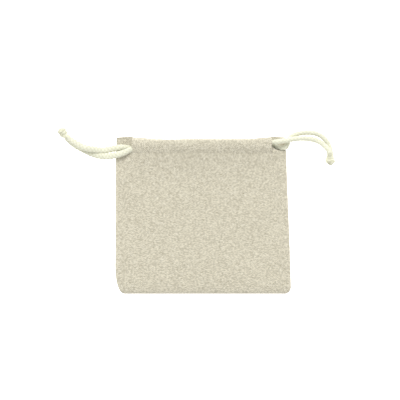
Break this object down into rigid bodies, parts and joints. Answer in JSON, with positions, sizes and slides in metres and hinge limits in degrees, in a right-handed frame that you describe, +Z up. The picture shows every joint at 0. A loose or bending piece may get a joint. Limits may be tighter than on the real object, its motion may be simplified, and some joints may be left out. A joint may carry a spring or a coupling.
{
  "type": "drawstring gift pouch",
  "caption": "Flat woven cloth gift pouch with a hemmed tunnel along its mouth and knotted drawcords leaving at both sides.",
  "frame": {"origin": "under the middle of the cloth, on the flat back that the pouch lies on", "axes": "+X along the pouch's width, to the right as the front is seen; +Y from the bottom seam towards the mouth; +Z up, out of the front"},
  "size_m": [0.1785, 0.1069, 0.0097],
  "materials": {
    "cloth": "matte woven linen-look cotton",
    "cord": "soft knitted cotton cord",
    "thread": "spun cotton sewing thread"
  },
  "bodies": {
    "pouch": {"back_panel": "cloth", "back_casing": "cloth", "left_seam_allowance": "cloth", "right_seam_allowance": "cloth", "bottom_seam_allowance": "cloth", "left_side_stitch": "thread", "right_side_stitch": "thread", "bottom_stitch": "thread", "left_overlock": "thread", "right_overlock": "thread", "bottom_overlock": "thread", "back_hem_stitch": "thread", "left_slit_tack": "thread", "right_slit_tack": "thread", "front_left_side": "cloth", "front_right_side": "cloth", "left_cord_back_run": "cord", "right_cord_back_run": "cord"},
    "front": {"front_panel": "cloth", "front_casing": "cloth", "front_hem_stitch": "thread", "left_cord_front_run": "cord", "right_cord_front_run": "cord"},
    "left_cord": {"left_front_strand": "cord", "left_back_strand": "cord", "left_knot": "cord"},
    "right_cord": {"right_front_strand": "cord", "right_back_strand": "cord", "right_knot": "cord"}
  },
  "joints": [
    {"name": "mouth_open", "type": "hinge", "parent": "pouch", "child": "front", "pos_m": [0, -0.05, 0.0009], "axis": [1, 0, 0], "range_deg": [0, 11]},
    {"name": "left_cord_pull", "type": "slide", "parent": "pouch", "child": "left_cord", "axis": [-1, 0, 0], "range_m": [0, 0.012]},
    {"name": "right_cord_pull", "type": "slide", "parent": "pouch", "child": "right_cord", "axis": [1, 0, 0], "range_m": [0, 0.012]}
  ]
}
